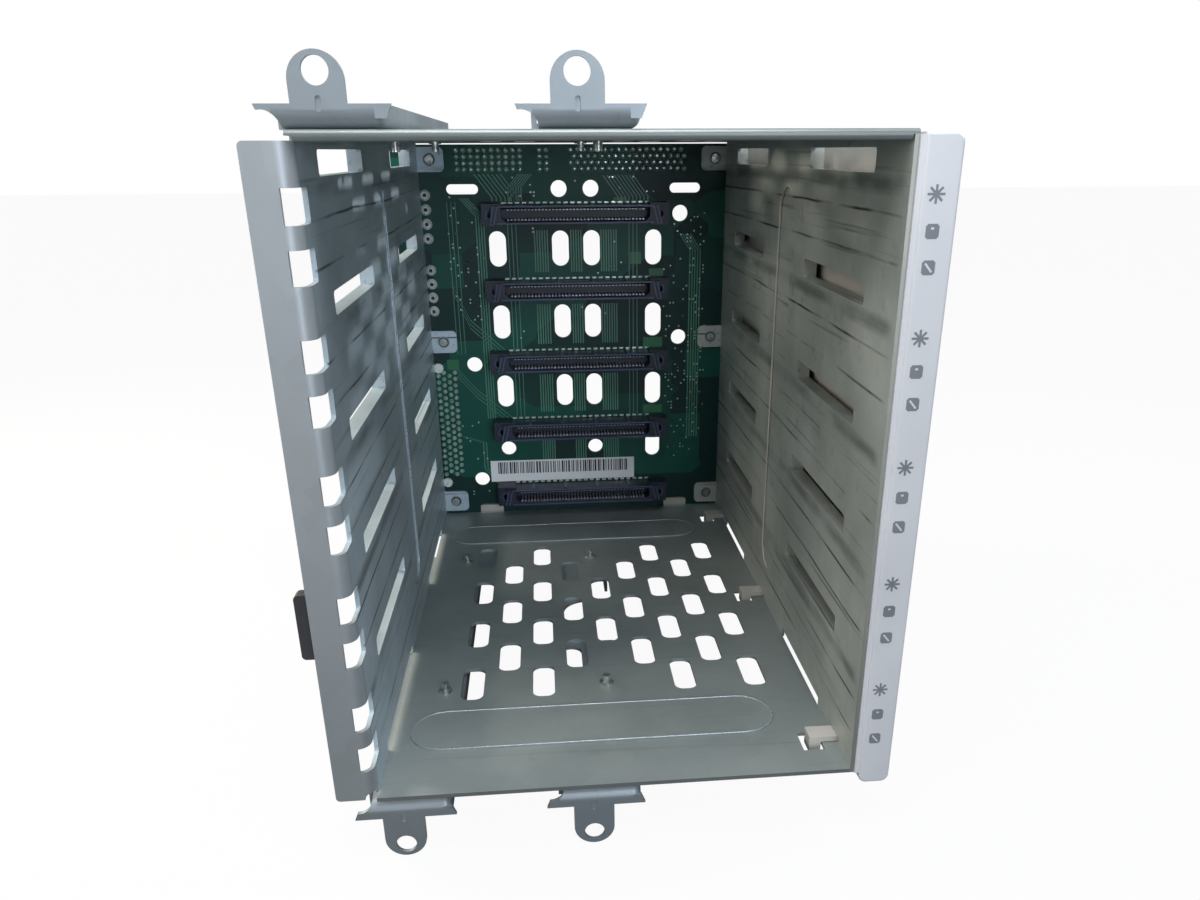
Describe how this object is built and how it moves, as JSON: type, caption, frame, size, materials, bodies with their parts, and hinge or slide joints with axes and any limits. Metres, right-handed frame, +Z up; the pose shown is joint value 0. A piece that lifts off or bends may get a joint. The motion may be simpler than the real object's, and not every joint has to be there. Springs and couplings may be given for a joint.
{
  "type": "hot swap drive cage",
  "caption": "Empty sheet steel cage for hot swap 3.5 inch drives, with drive sockets on a circuit board at the back and drilled mounting ears",
  "frame": {"origin": "centre of the rectangle of the four ear holes, in the front face of the ears", "axes": "X to the right seen from the front, Y into the cage, Z up"},
  "size_m": [0.1347, 0.1986, 0.1726],
  "materials": {
    "steel_sheet": "zinc plated sheet, dull",
    "rivet_steel": "bright zinc",
    "board_laminate": "green solder mask on glass laminate",
    "black_nylon": "moulded",
    "pale_nylon": "moulded",
    "plated_brass": "tin plated",
    "white_plastic": "moulded, fine grain",
    "tan_plastic": "moulded",
    "clear_plastic": "clear acrylic",
    "black_rubber": "dull"
  },
  "bodies": {
    "root": {"left_side_wall": "steel_sheet", "right_side_wall": "steel_sheet", "floor_panel": "steel_sheet", "top_panel": "steel_sheet", "top_rail_left": "steel_sheet", "top_rail_right": "steel_sheet", "bottom_rail_left": "steel_sheet", "bottom_rail_right": "steel_sheet", "rail_rivets": "rivet_steel", "backplane_board": "board_laminate", "board_screws": "rivet_steel", "drive_socket_1": "black_nylon", "drive_socket_2": "black_nylon", "drive_socket_3": "black_nylon", "drive_socket_4": "black_nylon", "drive_socket_5": "black_nylon", "side_header": "black_nylon", "side_header_rivets": "rivet_steel", "top_header_wide": "black_nylon", "top_header_narrow": "black_nylon", "top_header_small": "black_nylon", "power_header_lower": "pale_nylon", "power_header_upper": "pale_nylon", "power_pins": "plated_brass", "light_strip": "white_plastic", "light_guide_carrier": "tan_plastic", "light_guides": "clear_plastic", "status_lamps": "clear_plastic", "side_lug": "black_rubber"}
  },
  "joints": []
}
